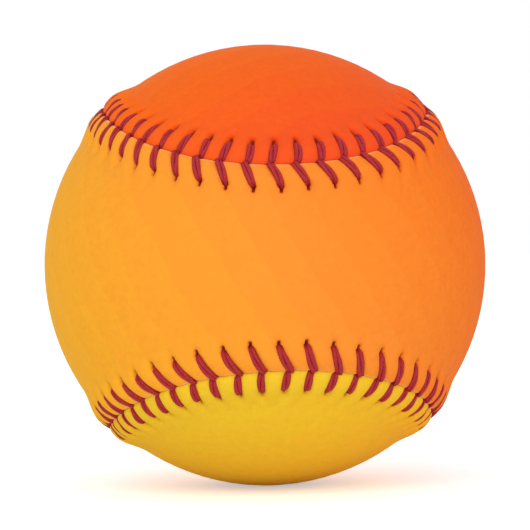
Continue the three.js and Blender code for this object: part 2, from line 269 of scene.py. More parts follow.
class CoverSettings(bpy.types.PropertyGroup):
    """Shape of the two leather panels."""
    thickness: bpy.props.FloatProperty(
        name="Leather thickness", description="Thickness of the leather",
        default=1.1 * MM, unit="LENGTH")
    puff_height: bpy.props.FloatProperty(
        name="Puff height", description="Rise of the leather between two strands over the field",
        default=1.2 * MM, unit="LENGTH")
    bed_height: bpy.props.FloatProperty(
        name="Bed height", description="Rise of the leather under a strand over the field",
        default=0.4 * MM, unit="LENGTH")
    ridge_start: bpy.props.FloatProperty(
        name="Crest", description="Distance of the ridge's crest from the seam",
        default=2.0 * MM, unit="LENGTH")
    ridge_end: bpy.props.FloatProperty(
        name="Ridge foot", description="Distance from the seam at which the ridge meets the field",
        default=7.6 * MM, unit="LENGTH")
    edge_roll: bpy.props.FloatProperty(
        name="Edge roll", description="Distance over which the cut edge rolls down into the seam",
        default=0.28 * MM, unit="LENGTH")
    crest_roll: bpy.props.FloatProperty(
        name="Crest roll", description="Distance over which the leather rises from its edge",
        default=1.1 * MM, unit="LENGTH")
    bed_end: bpy.props.FloatProperty(
        name="Bed end", description="Distance from the seam at which a strand's bed meets the field",
        default=4.4 * MM, unit="LENGTH")
    bed_half_width: bpy.props.FloatProperty(
        name="Bed half width", description="Half the width of the groove that a strand presses",
        default=0.74 * MM, unit="LENGTH")
    slit_length: bpy.props.FloatProperty(
        name="Slit length", description="Length of a hole beyond its strand's end",
        default=1.2 * MM, unit="LENGTH")
    slit_stretch: bpy.props.FloatProperty(
        name="Slit stretch", default=0.6 * MM, unit="LENGTH",
        description="How much longer the second panel's holes are on one side of the ball")
    slit_width: bpy.props.FloatProperty(
        name="Slit width", description="Width of a hole beyond its strand's end",
        default=0.56 * MM, unit="LENGTH")
    mouth_width: bpy.props.FloatProperty(
        name="Mouth width", description="Width of a hole where its strand goes in",
        default=0.9 * MM, unit="LENGTH")
    slit_depth: bpy.props.FloatProperty(
        name="Slit depth", description="Depth to which a hole is open",
        default=0.95 * MM, unit="LENGTH")


class LacingSettings(bpy.types.PropertyGroup):
    """Lay of the stitches and make of the thread."""
    pairs: bpy.props.IntProperty(
        name="Pairs", description="Pairs of strands round the seam", default=108)
    hole_inset: bpy.props.FloatProperty(
        name="Hole inset", description="Distance from the seam at which the strands enter their holes",
        default=3.65 * MM, unit="LENGTH")
    lead_a: bpy.props.FloatProperty(
        name="Lead on the first panel", description="Run of a strand along the seam, first panel",
        default=1.75 * MM, unit="LENGTH")
    lead_b: bpy.props.FloatProperty(
        name="Lead on the second panel", description="Run of a strand along the seam, second panel",
        default=0.4 * MM, unit="LENGTH")
    hole_stagger: bpy.props.FloatProperty(
        name="Hole stagger", description="How far facing holes are moved apart along the seam",
        default=0.41 * MM, unit="LENGTH")
    ply_radius: bpy.props.FloatProperty(
        name="Ply radius", description="Radius of one of the thread's two plies",
        default=0.36 * MM, unit="LENGTH")
    ply_flatness: bpy.props.FloatProperty(
        name="Ply flatness", default=0.85,
        description="Thickness of a pulled-down ply as a share of its width")
    ply_spread: bpy.props.FloatProperty(
        name="Ply spread", description="Distance of a ply's middle from the thread's",
        default=0.3 * MM, unit="LENGTH")
    ply_turn: bpy.props.FloatProperty(
        name="Ply turn", default=math.radians(38), subtype="ANGLE",
        description="Turn of the plies about each other from a strand's middle to its end")
    unevenness: bpy.props.FloatProperty(
        name="Unevenness", description="Scatter of holes and strands, as sewn by hand",
        default=0.15 * MM, unit="LENGTH")
    drift: bpy.props.FloatProperty(
        name="Drift", default=0.6 * MM, unit="LENGTH",
        description="How far the pairs run ahead on one side of the ball, and behind on the other")
    spacing: bpy.props.FloatProperty(
        name="Spacing", default=1.1 * MM, unit="LENGTH",
        description="How far the pairs move from the middle of each of the seam's curves to its bends")
    wander: bpy.props.FloatProperty(
        name="Wander", default=0.45 * MM, unit="LENGTH",
        description="How far the first panel's holes move from the seam on one side of the ball")


class PrintSettings(bpy.types.PropertyGroup):
    """Colours of each panel's gradient, from its first lobe to its second, and of the thread."""
    first_end: bpy.props.FloatVectorProperty(
        name="First end", description="Colour at the far end of the first lobe", subtype="COLOR",
        default=display_colour(242, 200, 46))
    first_lobe: bpy.props.FloatVectorProperty(
        name="First lobe", description="Colour at the first lobe's centre", subtype="COLOR",
        default=display_colour(252, 182, 43))
    waist: bpy.props.FloatVectorProperty(
        name="Waist", description="Colour at the waist", subtype="COLOR",
        default=display_colour(252, 145, 50))
    second_lobe: bpy.props.FloatVectorProperty(
        name="Second lobe", description="Colour at the second lobe's centre", subtype="COLOR",
        default=display_colour(251, 110, 24))
    second_end: bpy.props.FloatVectorProperty(
        name="Second end", description="Colour at the far end of the second lobe", subtype="COLOR",
        default=display_colour(244, 82, 35))
    thread: bpy.props.FloatVectorProperty(
        name="Thread", description="Colour of the thread", subtype="COLOR",
        default=display_colour(192, 27, 40))


class StudioSettings(bpy.types.PropertyGroup):
    """Camera, lamps and floor."""
    azimuth: bpy.props.FloatProperty(
        name="Azimuth", description="Camera's turn about the ball, from -Y towards -X",
        default=math.radians(4.9), subtype="ANGLE")
    elevation: bpy.props.FloatProperty(
        name="Elevation", description="Camera's height over the ball's middle as an angle",
        default=math.radians(0.8), subtype="ANGLE")
    roll: bpy.props.FloatProperty(
        name="Roll", description="Camera's turn about its view, clockwise",
        default=math.radians(1.2), subtype="ANGLE")
    distance: bpy.props.FloatProperty(
        name="Distance", description="From the camera to the ball's centre, in ball radii",
        default=12.0)
    ball_in_photo: bpy.props.FloatProperty(
        name="Ball in the picture", description="The ball's radius in the photograph, in pixels",
        default=220.5)
    dome: bpy.props.FloatProperty(
        name="Dome", description="Strength of the even light from all round", default=0.7)
    key: bpy.props.FloatProperty(
        name="Key", description="Power of the soft lamp over the camera",
        default=2.25, unit="POWER")
    fill: bpy.props.FloatProperty(
        name="Fill", description="Power of the wide low lamp behind the camera",
        default=1.15, unit="POWER")


# Meshes

def deselect_all():
    """Nothing stays selected, so that an operator acts on its own piece alone."""
    for chosen in bpy.context.selected_objects:
        chosen.select_set(False)


def flat_grid(name, columns, rows):
    """A flat grid to be laid in place, with the column and the row of each of its vertices."""
    deselect_all()
    bpy.ops.mesh.primitive_grid_add(x_subdivisions=columns, y_subdivisions=rows, size=1, calc_uvs=True)
    piece = bpy.context.object
    piece.name = name
    piece.data.name = name
    places = np.empty(len(piece.data.vertices) * 3)
    piece.data.vertices.foreach_get("co", places)
    places = places.reshape(-1, 3)
    column = np.rint((places[:, 0] + 0.5) * columns).astype(int)
    row = np.rint((places[:, 1] + 0.5) * rows).astype(int)
    return piece, column, row


def lay(piece, points):
    """Moves a mesh's vertices to their places."""
    piece.data.vertices.foreach_set("co", np.ascontiguousarray(points, dtype=float).ravel())
    piece.data.update()


def close_up():
    """Merges the piece's vertices that meet, and points its faces outwards."""
    bpy.ops.object.mode_set(mode="EDIT")
    bpy.ops.mesh.select_all(action="SELECT")
    bpy.ops.mesh.remove_doubles(threshold=MERGE_DISTANCE)
    bpy.ops.mesh.normals_make_consistent(inside=False)
    bpy.ops.object.mode_set(mode="OBJECT")


def mark(piece, name, values):
    """Keeps a value for each vertex, for the piece's material."""
    attribute = piece.data.attributes.new(name, "FLOAT", "POINT")
    attribute.data.foreach_set("value", np.ascontiguousarray(values, dtype=float))


def finish_piece(piece, material, node):
    """Gives a piece its material and its body, and hides the solid that it stands for."""
    piece.data.materials.clear()
    piece.data.materials.append(material)
    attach(piece, "root")
    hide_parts(node)


# Stitches

def pitch(lacing):
    """Distance from one pair of strands to the next along the seam."""
    return SEAM_RUN[-1] * FIELD_RADIUS / lacing.pairs


def scatter(lacing, seed):
    """One small shift for each stitch, the same in every run."""
    shifts = np.random.default_rng(seed).uniform(-1, 1, lacing.pairs)
    return shifts * lacing.unevenness


def stitch_place(lacing, stitch):
    """Place of a pair along the seam. Sewn by eye, pairs drift and lie closer at the seam's bends."""
    turn = 2 * math.pi * stitch / lacing.pairs
    shift = lacing.drift * np.cos(turn) + lacing.spacing * np.sin(SEAM_CURVES * turn)
    return stitch * pitch(lacing) + shift


def hole_place(lacing, side, stitch):
    """Distance from the seam at which a strand goes into its hole."""
    turn = 2 * math.pi * stitch / lacing.pairs
    wander = lacing.wander * (1 - np.cos(turn)) / 2 if side > 0 else 0
    return lacing.hole_inset + wander + scatter(lacing, ACROSS_SEEDS[side])[stitch]


def near_seam(lacing, across):
    """Share of a hole's own shift along the seam that the strand and the leather follow."""
    return 1 - ease(0, LEAN_FADE[1] * lacing.hole_inset, across)


def lean(lacing, side, across, inset):
    """How far a strand, or the leather under it, has run on along the seam at a distance from it."""
    stagger = -side * lacing.hole_stagger
    lead = lacing.lead_a if side > 0 else lacing.lead_b
    over_leather = stagger + lead * (1 - across / inset)
    beyond_hole = stagger * (1 - ease(LEAN_FADE[0] * inset, LEAN_FADE[1] * inset, across))
    return np.where(across < inset, over_leather, beyond_hole)


def ridge_fall(cover, across):
    """Share of the ridge's height that is left at a distance from the seam."""
    return 1 - ease(cover.ridge_start, cover.ridge_end, across)


def bed(cover, across):
    """Height of the leather under a strand, which arches from the seam to its hole."""
    rise = ease(-0.3 * cover.ridge_start, cover.ridge_start, across)
    return cover.bed_height * rise * (1 - ease(cover.ridge_start, cover.bed_end, across))


def puff(cover, across):
    """Height of the leather midway between two strands."""
    tight = TIGHT_ROLL * np.exp(-across / cover.edge_roll)
    wide = WIDE_ROLL * np.exp(-across / cover.crest_roll)
    return cover.puff_height * (1 - tight - wide) * ridge_fall(cover, across)


# Leather panels

def panel_rows(cover, lacing):
    """Distances of a panel's outer rows from its edge, closest at the edge and round the holes."""
    inset = lacing.hole_inset
    crest = np.linspace(CREST_START, inset - CREST_MARGIN, CREST_STEPS)
    slit_end = inset + cover.slit_length + max(lacing.wander, cover.slit_stretch)
    holes = np.arange(inset - HOLE_MARGIN, slit_end + SLIT_MARGIN, HOLE_ROW_STEP)
    foot = np.linspace(holes[-1] + FOOT_GAP, cover.ridge_end + FOOT_REACH, FOOT_STEPS)
    return np.concatenate([EDGE_ROWS, crest, holes, foot])


def spine_points(side, even, radius):
    """The points of the panel's spine that its columns run to, from their evenly spaced places. Facing
    columns run to the same point, which closes the panel along its spine."""
    spine = np.zeros_like(even)
    lobe = 0 if side > 0 else 2
    spine[:, lobe] = even[:, lobe]
    on_waist = even[:, 1] * side < 0
    spine[on_waist, 1] = even[on_waist, 1]
    return unit(spine) * radius


def punched_hole(cover, side, turn, from_strand, beyond):
    """Depths, as shares, of the hole past a strand's end: a wide mouth, then a slit that closes."""
    stretch = (cover.slit_stretch if side < 0 else 0) * (1 + np.cos(turn)) / 2
    slit_length = cover.slit_length + stretch
    slit_width = cover.slit_width + WIDER_HOLE * stretch
    open_share = 1 - ease(*HOLE_CLOSES, beyond / slit_length)
    open_share *= ease(*HOLE_OPENS, beyond)
    mouth_share = 1 - ease(*MOUTH_NARROWS, beyond)
    half_width = (slit_width + (cover.mouth_width - slit_width) * mouth_share) / 2
    half_width *= CLOSED_WIDTH + (1 - CLOSED_WIDTH) * open_share
    depth = (1 - ease(*HOLE_SIDE, np.abs(from_strand) / half_width)) * open_share
    return depth * (SLIT_DEPTH_SHARE + (1 - SLIT_DEPTH_SHARE) * mouth_share)


def edge_gap(side, lacing, from_strand, across):
    """Half the gap between the panels, which part a little where a strand dives between them."""
    place = -side * (lacing.lead_a - lacing.lead_b - 2 * lacing.hole_stagger) / 2
    notch = np.exp(-((from_strand - place) / NOTCH_HALF_LENGTH) ** 2)
    return (EDGE_GAP + NOTCH_GAP * notch) * np.exp(-across / NOTCH_REACH)


def build_panel(name, side, cover, lacing):
    """One panel as a closed skin, from its inner spine out to its edge and back to its outer spine."""
    step = pitch(lacing)
    shares = np.array(COLUMNS)
    columns = lacing.pairs * len(shares)
    outer = panel_rows(cover, lacing)
    inner = np.array([cover.ridge_end, lacing.hole_inset, cover.ridge_start, INNER_EDGE])
    rows = INNER_FIELD_STEPS + len(inner) + len(outer) + FIELD_STEPS - 1
    piece, column, row = flat_grid(name, columns, rows)

    # Stitch, and place between two puffs, of each column
    stitch = (column // len(shares)) % lacing.pairs
    share_of_step = shares[column % len(shares)]
    from_strand = share_of_step * step
    turn = 2 * math.pi * stitch / lacing.pairs
    holes_shift = scatter(lacing, ALONG_SEEDS[side])
    inset = hole_place(lacing, side, stitch)
    near_strand = np.maximum(0, 1 - np.abs(from_strand) / (step / 2))

    # Distance from the seam of each row
    first_outer = INNER_FIELD_STEPS + len(inner)
    last_outer = first_outer + len(outer) - 1
    reach = np.concatenate([
        np.full(INNER_FIELD_STEPS, inner[0]), inner, outer, np.full(FIELD_STEPS, outer[-1])])
    across = reach[row]
    is_outer = row >= first_outer

    # Leather pressed down under the strands and puffed up between them
    between = 1 - np.exp(-(from_strand / cover.bed_half_width) ** 2)
    vary = 1 + PUFF_VARIETY * (scatter(lacing, PUFF_SEEDS[side]) / MM)
    puff_share = np.where(from_strand > 0, vary[stitch], vary[stitch - 1])
    low = bed(cover, across)
    high = puff(cover, across) * puff_share
    groove_end = cover.ridge_end - GROOVE_BEFORE_FOOT
    groove = 1 - ease(lacing.hole_inset + GROOVE_BEHIND_HOLE, groove_end, across)
    height = high + (low - high) * (1 - between) * groove

    # Holes, and the leather's underside
    punched = punched_hole(cover, side, turn, from_strand, across - inset)
    height -= cover.slit_depth * punched * is_outer
    under = -cover.thickness + cover.bed_height * ridge_fall(cover, across)
    height = np.where(is_outer, height, under)

    # Places along the seam and across it
    shift = holes_shift[stitch] * near_strand * near_seam(lacing, across)
    along = stitch_place(lacing, stitch + share_of_step) + lean(lacing, side, across, inset) + shift
    points = on_ball(along, side * (across + edge_gap(side, lacing, from_strand, across)), height)

    # Rows of the field, on their way to the spine
    even_points = on_ball(stitch * step + from_strand, side * across, height)
    for rows_in, count, base in (
        (INNER_FIELD_STEPS - row, INNER_FIELD_STEPS, row == INNER_FIELD_STEPS),
        (row - last_outer, FIELD_STEPS, row == last_outer),
    ):
        starts = np.zeros((columns + 1, 3))
        starts[column[base]] = points[base]
        even = np.zeros((columns + 1, 3))
        even[column[base]] = even_points[base]
        radius = np.linalg.norm(starts[0])
        spine = spine_points(side, even, radius)
        moved = rows_in > 0
        share = (rows_in[moved] / count)[:, None]
        way = starts[column[moved]] * (1 - share) + spine[column[moved]] * share
        points[moved] = unit(way) * radius

    lay(piece, points)
    # Painted shade: the holes' depths and a faint line along the cut edge become the mask with which the
    # material darkens the print
    painted_rim_shade = np.exp(-across / RIM_REACH) * RIM_PAINTED_SHADE
    mark(piece, "punched", np.where(is_outer, np.maximum(punched, painted_rim_shade), 0.5))
    # Pale cut edge on the first panel only: raw leather in part, and in part painted highlight where
    # that edge catches the light
    shows_pale_lit_edge = is_outer if side > 0 else False
    mark(piece, "pale_lit_edge", np.exp(-(across / PALE_EDGE_WIDTH) ** 2) * shows_pale_lit_edge)
    close_up()
    bpy.ops.object.shade_smooth()
    return piece


# Thread

def strand_run(side, stitch, cover, lacing):
    """Places along, across and over the field of one strand, from its hole to the seam."""
    share = (1 - np.cos(np.linspace(0, math.pi, STRAND_STEPS + 1))) / 2
    inset = hole_place(lacing, side, stitch)
    first = inset - STRAND_START
    across = first + (STRAND_END[side] - first) * share
    shift = scatter(lacing, ALONG_SEEDS[side])[stitch] * near_seam(lacing, across)
    bow = (STRAND_BOW + scatter(lacing, BOW_SEEDS[side])[stitch]) * np.sin(math.pi * share)
    along = stitch_place(lacing, stitch) + lean(lacing, side, across, inset) + shift - bow
    short = np.clip((DIVE_SHARE - np.minimum(share, 1 - share)) / DIVE_SHARE, 0, 1)
    drop = (cover.thickness + DIVE_DEPTH) * (1 - np.sqrt(1 - short ** 2))
    over = STRAND_RISE[side] * share ** 2
    height = bed(cover, np.maximum(across, 0)) + STRAND_LIFT * lacing.ply_radius + over - drop
    return along, side * across, height, share


def hidden_run(start, end):
    """Places of the thread under the leather, from one run's end to the next run's start."""
    share = np.linspace(0, 1, HIDDEN_STEPS + 1)[1:-1]
    places = [a + (b - a) * share for a, b in zip(start, end)]
    return (*places, 1 - share)


def thread_run(cover, lacing):
    """The whole thread: two halves that cross from side to side, joined under the first holes."""
    def half(first_side):
        runs = []
        for stitch in range(lacing.pairs):
            side = first_side if stitch % 2 == 0 else -first_side
            run = strand_run(side, stitch, cover, lacing)
            if runs:
                before = [values[-1] for values in runs[-1][:3]]
                runs.append(hidden_run(before, [values[0] for values in run[:3]]))
            runs.append(run)
        return [np.concatenate(values) for values in zip(*runs)]

    there = half(1)
    back = [values[::-1] for values in half(-1)]
    middle = ([-lacing.lead_b], [0.0], [there[2][0]], [0.5])
    return [np.concatenate(values) for values in zip(back, middle, there)]


def build_thread(cover, lacing):
    """Two plies side by side along the thread's run, turning about each other over each strand."""
    along, across, height, share = thread_run(cover, lacing)
    middle = on_ball(along, across, height)
    heading = unit(np.gradient(middle, axis=0))
    wide = forward_on_ball(along)
    wide = unit(wide - heading * np.sum(wide * heading, axis=1, keepdims=True))
    thick = np.cross(heading, wide)
    turn = (2 * share - 1) * lacing.ply_turn

    plies = []
    for number in range(2):
        piece, column, row = flat_grid(f"thread_ply_{number + 1}", PLY_SIDES, len(middle) - 1)
        angle = turn + number * math.pi
        spread = lacing.ply_spread * (END_SPREAD + ADDED_SPREAD * np.sin(math.pi * share))[:, None]
        core = middle + spread * (np.cos(angle)[:, None] * wide + np.sin(angle)[:, None] * thick)
        around = (column / PLY_SIDES * 2 * math.pi)[:, None]
        ring = np.cos(around) * wide[row] + lacing.ply_flatness * np.sin(around) * thick[row]
        lay(piece, core[row] + lacing.ply_radius * ring)
        # The share of each ply's side that faces away from the ball, with which the material paints a
        # highlight along the ply's top and shade on its sides
        mark(piece, "crown_light", 0.5 + 0.5 * np.sum(unit(ring) * unit(core)[row], axis=1))
        close_up()
        bpy.ops.object.mode_set(mode="EDIT")
        bpy.ops.mesh.select_all(action="DESELECT")
        bpy.ops.mesh.select_non_manifold()
        bpy.ops.mesh.edge_face_add()
        bpy.ops.mesh.select_all(action="SELECT")
        bpy.ops.mesh.normals_make_consistent(inside=False)
        bpy.ops.object.mode_set(mode="OBJECT")
        bpy.ops.object.shade_smooth()
        plies.append(piece)

    deselect_all()
    for piece in plies:
        piece.select_set(True)
    bpy.context.view_layer.objects.active = plies[0]
    bpy.ops.object.join()
    thread = bpy.context.object
    thread.name = "waxed_thread"
    thread.data.name = "waxed_thread"
    return thread


# Materials

class Finish:
    """A procedural material under way: its tree, its shader and short ways to add nodes to it."""

    def __init__(self, name):
        self.material = bpy.data.materials.new(name)
        self.material.use_nodes = True
        self.tree = self.material.node_tree
        self.shader = self.tree.nodes["Principled BSDF"]
        self.place = self.add("ShaderNodeTexCoord").outputs["Object"]

    def add(self, kind, **inputs):
        """Adds a node. Each input is given by its name, as a value or as a socket to link."""
        node = self.tree.nodes.new(kind)
        for name, value in inputs.items():
            self.feed(node.inputs[name.replace("_", " ")], value)
        return node

    def feed(self, socket, value):
        """Sets an input, or links an output to it."""
        if isinstance(value, bpy.types.NodeSocket):
            self.tree.links.new(value, socket)
        else:
            socket.default_value = value

    def math(self, operation, first, second=0.0):
        """A Math node's result."""
        node = self.add("ShaderNodeMath")
        node.operation = operation
        self.feed(node.inputs[0], first)
        self.feed(node.inputs[1], second)
        return node.outputs[0]

    def mix(self, factor, first, second, blend="MIX"):
        """A colour mixed from two."""
        node = self.add("ShaderNodeMix")
        node.data_type = "RGBA"
        node.blend_type = blend
        self.feed(node.inputs["Factor"], factor)
        self.feed(node.inputs[6], first)
        self.feed(node.inputs[7], second)
        return node.outputs[2]

    def span(self, value, low, high):
        """A value from 0 to 1 brought between two others."""
        node = self.add("ShaderNodeMapRange", Value=value)
        self.feed(node.inputs["To Min"], low)
        self.feed(node.inputs["To Max"], high)
        return node.outputs[0]

    def step(self, value, low, high):
        """0 below low, 1 above high, and a smooth step between them."""
        node = self.add("ShaderNodeMapRange", Value=value)
        node.interpolation_type = "SMOOTHSTEP"
        self.feed(node.inputs["From Min"], low)
        self.feed(node.inputs["From Max"], high)
        return node.outputs[0]

    def noise(self, scale, detail=3.0, place=None):
        """A Noise texture's value."""
        return self.add(
            "ShaderNodeTexNoise", Vector=place or self.place, Scale=scale, Detail=detail).outputs[0]

    def bump(self, height, distance, strength=1.0, normal=None):
        """A Bump node's normal."""
        node = self.add("ShaderNodeBump", Height=height, Distance=distance, Strength=strength)
        if normal:
            self.feed(node.inputs["Normal"], normal)
        return node.outputs[0]


def opaque(colour):
    """A colour with its alpha."""
    return (*colour[:3], 1.0)


def printed_leather(name, inks, length_axis, waist_sign, slant_axis):
    """Leather with a gradient printed along it, fine grain, painted shade in its holes and in a faint
    line along its cut edge, and on the first panel a pale cut edge that is partly painted highlight.
    """
    finish = Finish(name)
    axes = finish.add("ShaderNodeSeparateXYZ", Vector=finish.place).outputs
    towards_waist = finish.math("MULTIPLY", axes["Y"], waist_sign)
    angle = finish.math("ARCTAN2", axes[length_axis], towards_waist)
    slant = finish.math("MULTIPLY", axes[slant_axis], BAND_SLANT / FIELD_RADIUS)
    waver = finish.math("MULTIPLY", finish.noise(30.0, 2.0), BAND_WAVER)
    turn = finish.math("ADD", finish.math("ADD", angle, slant), waver)
    way = finish.math("ADD", finish.math("DIVIDE", turn, 2 * math.pi), BAND_OFFSET)
    stepped = finish.math("MULTIPLY", finish.math("SNAP", way, 1 / BANDS), BAND_HARDNESS)
    smooth = finish.math("MULTIPLY", way, 1 - BAND_HARDNESS)
    ramp = finish.add("ShaderNodeValToRGB", Fac=finish.math("ADD", smooth, stepped))
    stops = ramp.color_ramp.elements
    colours = (inks.first_end, inks.first_lobe, inks.waist, inks.second_lobe, inks.second_end)
    while len(stops) < len(colours):
        stops.new(0.5)
    for stop, colour, degrees in zip(stops, colours, COLOUR_ANGLES):
        stop.position = degrees / 360 + 0.5
        stop.color = opaque(colour)
    pebble = finish.add("ShaderNodeTexVoronoi", Vector=finish.place, Scale=1500.0)
    pebble.feature = "SMOOTH_F1"
    mottle = finish.span(finish.noise(700.0, 5.0), 0.93, 1.055)
    creased = finish.span(pebble.outputs["Distance"], 1.02, 0.95)
    dull = finish.math("MULTIPLY", mottle, creased)
    shade = finish.add("ShaderNodeCombineColor", Red=dull, Green=dull, Blue=dull).outputs[0]
    ink = finish.mix(1.0, ramp.outputs[0], shade, "MULTIPLY")
    # Painted shade: the print is darkened inside the holes and along the cut edge, where their depth and
    # the seam's groove would shade it
    punched = finish.add("ShaderNodeAttribute")
    punched.attribute_name = "punched"
    cut = finish.step(punched.outputs["Fac"], 0.15, 0.75)
    hole = finish.mix(1.0, ink, HOLE_PAINTED_SHADE, "MULTIPLY")
    # Partly painted highlight: the first panel's cut edge is mixed towards a pale raw-leather colour
    pale_lit_edge = finish.add("ShaderNodeAttribute")
    pale_lit_edge.attribute_name = "pale_lit_edge"
    pale = finish.math("MULTIPLY", pale_lit_edge.outputs["Fac"], PALE_EDGE_SHARE)
    edged = finish.mix(pale, ink, opaque(display_colour(255, 222, 160)))
    finish.feed(finish.shader.inputs["Base Color"], finish.mix(cut, edged, hole))
    finish.feed(finish.shader.inputs["Roughness"], finish.span(finish.noise(900.0), 0.58, 0.72))
    finish.shader.inputs["IOR"].default_value = 1.2
    finish.shader.inputs["Specular IOR Level"].default_value = 0.2

    creases = finish.bump(finish.noise(420.0, 4.0), 0.035 * MM, 0.5)
    grain = finish.bump(pebble.outputs["Distance"], 0.035 * MM, 0.55, creases)
    pores = finish.bump(finish.noise(4200.0, 2.0), 0.012 * MM, 0.6, grain)
    finish.feed(finish.shader.inputs["Normal"], pores)
    return finish.material


def waxed_cotton(name, colour):
    """Waxed two-ply thread, with fibres that wind round each ply."""
    finish = Finish(name)
    on_ply = finish.add("ShaderNodeTexCoord").outputs["UV"]
    lay_of_fibres = finish.add("ShaderNodeMapping", Vector=on_ply)
    lay_of_fibres.inputs["Scale"].default_value = (1.0, 2400.0, 1.0)
    axes = finish.add("ShaderNodeSeparateXYZ", Vector=lay_of_fibres.outputs[0]).outputs
    around = finish.math("ADD", finish.math("MULTIPLY", axes["X"], 5.0), axes["Y"])
    fibre = finish.math("SINE", finish.math("MULTIPLY", around, 2 * math.pi))
    fibre_share = finish.span(finish.math("MULTIPLY", fibre, 0.5), 0.0, 1.0)
    fuzz = finish.noise(5200.0, 4.0)
    streaks = finish.math("MULTIPLY", fibre_share, 0.5)
    tone = finish.math("ADD", streaks, finish.math("MULTIPLY", fuzz, 0.85))
    # Painted highlight and shade: each ply is paler along its outward top and darker on its sides, mixed
    # with the fibres' streaks
    dark = opaque([value * 0.66 for value in colour])
    pale = opaque([value * 1.05 + 0.05 for value in colour])
    crown_light = finish.add("ShaderNodeAttribute")
    crown_light.attribute_name = "crown_light"
    lit_crown_share = finish.math("POWER", crown_light.outputs["Fac"], 1.8)
    fibre_tone_and_crown_light = finish.mix(finish.math("MULTIPLY", lit_crown_share, tone), dark, pale)
    finish.feed(finish.shader.inputs["Base Color"], fibre_tone_and_crown_light)
    finish.feed(finish.shader.inputs["Roughness"], finish.span(fuzz, 0.42, 0.7))
    finish.shader.inputs["Specular IOR Level"].default_value = 0.12
    finish.shader.inputs["Sheen Weight"].default_value = 0.03
    finish.shader.inputs["Sheen Roughness"].default_value = 0.4
    rounds = finish.bump(fibre, 0.05 * MM, 0.8)
    finish.feed(finish.shader.inputs["Normal"], finish.bump(fuzz, 0.03 * MM, 0.5, rounds))
    return finish.material


def pressed_cork(name):
    """Cork and rubber granules pressed together."""
    finish = Finish(name)
    grains = finish.add("ShaderNodeTexVoronoi", Vector=finish.place, Scale=900.0)
    tone = finish.add("ShaderNodeSeparateColor", Color=grains.outputs["Color"]).outputs[0]
    colour = finish.mix(tone, opaque(display_colour(122, 80, 46)), opaque(display_colour(186, 138, 90)))
    specks = finish.math("GREATER_THAN", finish.noise(1600.0), 0.64)
    finish.feed(finish.shader.inputs["Base Color"], finish.mix(
        specks, colour, opaque(display_colour(48, 34, 24))))
    finish.shader.inputs["Roughness"].default_value = 0.9
    finish.feed(finish.shader.inputs["Normal"], finish.bump(grains.outputs["Distance"], 0.2 * MM, 0.6))
    return finish.material


def moulded_rubber(name, colour):
    """Moulded rubber with a dusty, slightly pitted skin."""
    finish = Finish(name)
    dust = finish.noise(320.0, 5.0)
    dusty = opaque([0.75 * value + 0.08 for value in colour])
    finish.feed(finish.shader.inputs["Base Color"], finish.mix(dust, opaque(colour), dusty))
    finish.feed(finish.shader.inputs["Roughness"], finish.span(dust, 0.55, 0.8))
    finish.feed(finish.shader.inputs["Normal"], finish.bump(finish.noise(2600.0), 0.04 * MM, 0.5))
    return finish.material


def wound_yarn(name, colour, yarn_width):
    """Yarn wound tight in crossing directions."""
    finish = Finish(name)
    height = None
    for number in range(3):
        turned = finish.add("ShaderNodeMapping", Vector=finish.place)
        turned.inputs["Rotation"].default_value = (0.9 * number, 1.3 * number + 0.4, 0.5 * number)
        waves = finish.add(
            "ShaderNodeTexWave", Vector=turned.outputs[0], Scale=0.314 / yarn_width,
            Distortion=0.6, Detail=1.0)
        if height is None:
            height = waves.outputs["Fac"]
        else:
            cover = finish.span(finish.noise(45.0 + 20 * number), -2.0, 3.0)
            kept = finish.add("ShaderNodeMix", Factor=cover)
            finish.feed(kept.inputs["A"], height)
            finish.feed(kept.inputs["B"], waves.outputs["Fac"])
            height = kept.outputs["Result"]
    shaded = opaque([value * 0.6 for value in colour])
    finish.feed(finish.shader.inputs["Base Color"], finish.mix(height, shaded, opaque(colour)))
    finish.shader.inputs["Roughness"].default_value = 0.95
    finish.shader.inputs["Sheen Weight"].default_value = 0.3
    strands = finish.bump(height, 0.4 * MM, 0.8)
    fuzz = finish.bump(finish.noise(3600.0), 0.1 * MM, 0.5, strands)
    finish.feed(finish.shader.inputs["Normal"], fuzz)
    return finish.material


def dress_node(node, material):
    """Gives a solid that stays as it is its finer material."""
    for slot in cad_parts[node].material_slots:
        slot.material = material


# Operators

class BALL_OT_cover(bpy.types.Operator):
    """Make the two leather panels"""
    bl_idname = "ball.cover"
    bl_label = "Leather cover"

    def execute(self, context):
        scene = context.scene
        panels = (
            ("leather_panel_a", 1, "cover_panel_a", "amber_leather", "X", -1.0, "Z"),
            ("leather_panel_b", -1, "cover_panel_b", "flame_leather", "Z", 1.0, "X"),
        )
        for name, side, node, slot, length_axis, waist_sign, slant_axis in panels:
            piece = build_panel(name, side, scene.ball_cover, scene.ball_lacing)
            leather = printed_leather(name, scene.ball_print, length_axis, waist_sign, slant_axis)
            finish_piece(piece, leather, node)
        return {"FINISHED"}


class BALL_OT_lacing(bpy.types.Operator):
    """Sew the thread through all the holes"""
    bl_idname = "ball.lacing"
    bl_label = "Lacing"

    def execute(self, context):
        scene = context.scene
        piece = build_thread(scene.ball_cover, scene.ball_lacing)
        thread = waxed_cotton("waxed_thread", scene.ball_print.thread)
        finish_piece(piece, thread, "seam_thread")
        return {"FINISHED"}


class BALL_OT_pill(bpy.types.Operator):
    """Finish the cork ball and the rubber shells round it"""
    bl_idname = "ball.pill"
    bl_label = "Pill"

    def execute(self, context):
        dress_node("cork_core", pressed_cork("pressed_cork"))
        black = moulded_rubber("black_rubber", display_colour(30, 29, 28))
        red = moulded_rubber("red_rubber", display_colour(146, 44, 34))
        for end in ("rear", "front"):
            dress_node(f"inner_rubber_half_{end}", black)
            dress_node(f"rubber_washer_{end}", red)
            dress_node(f"outer_rubber_half_{end}", red)
        return {"FINISHED"}


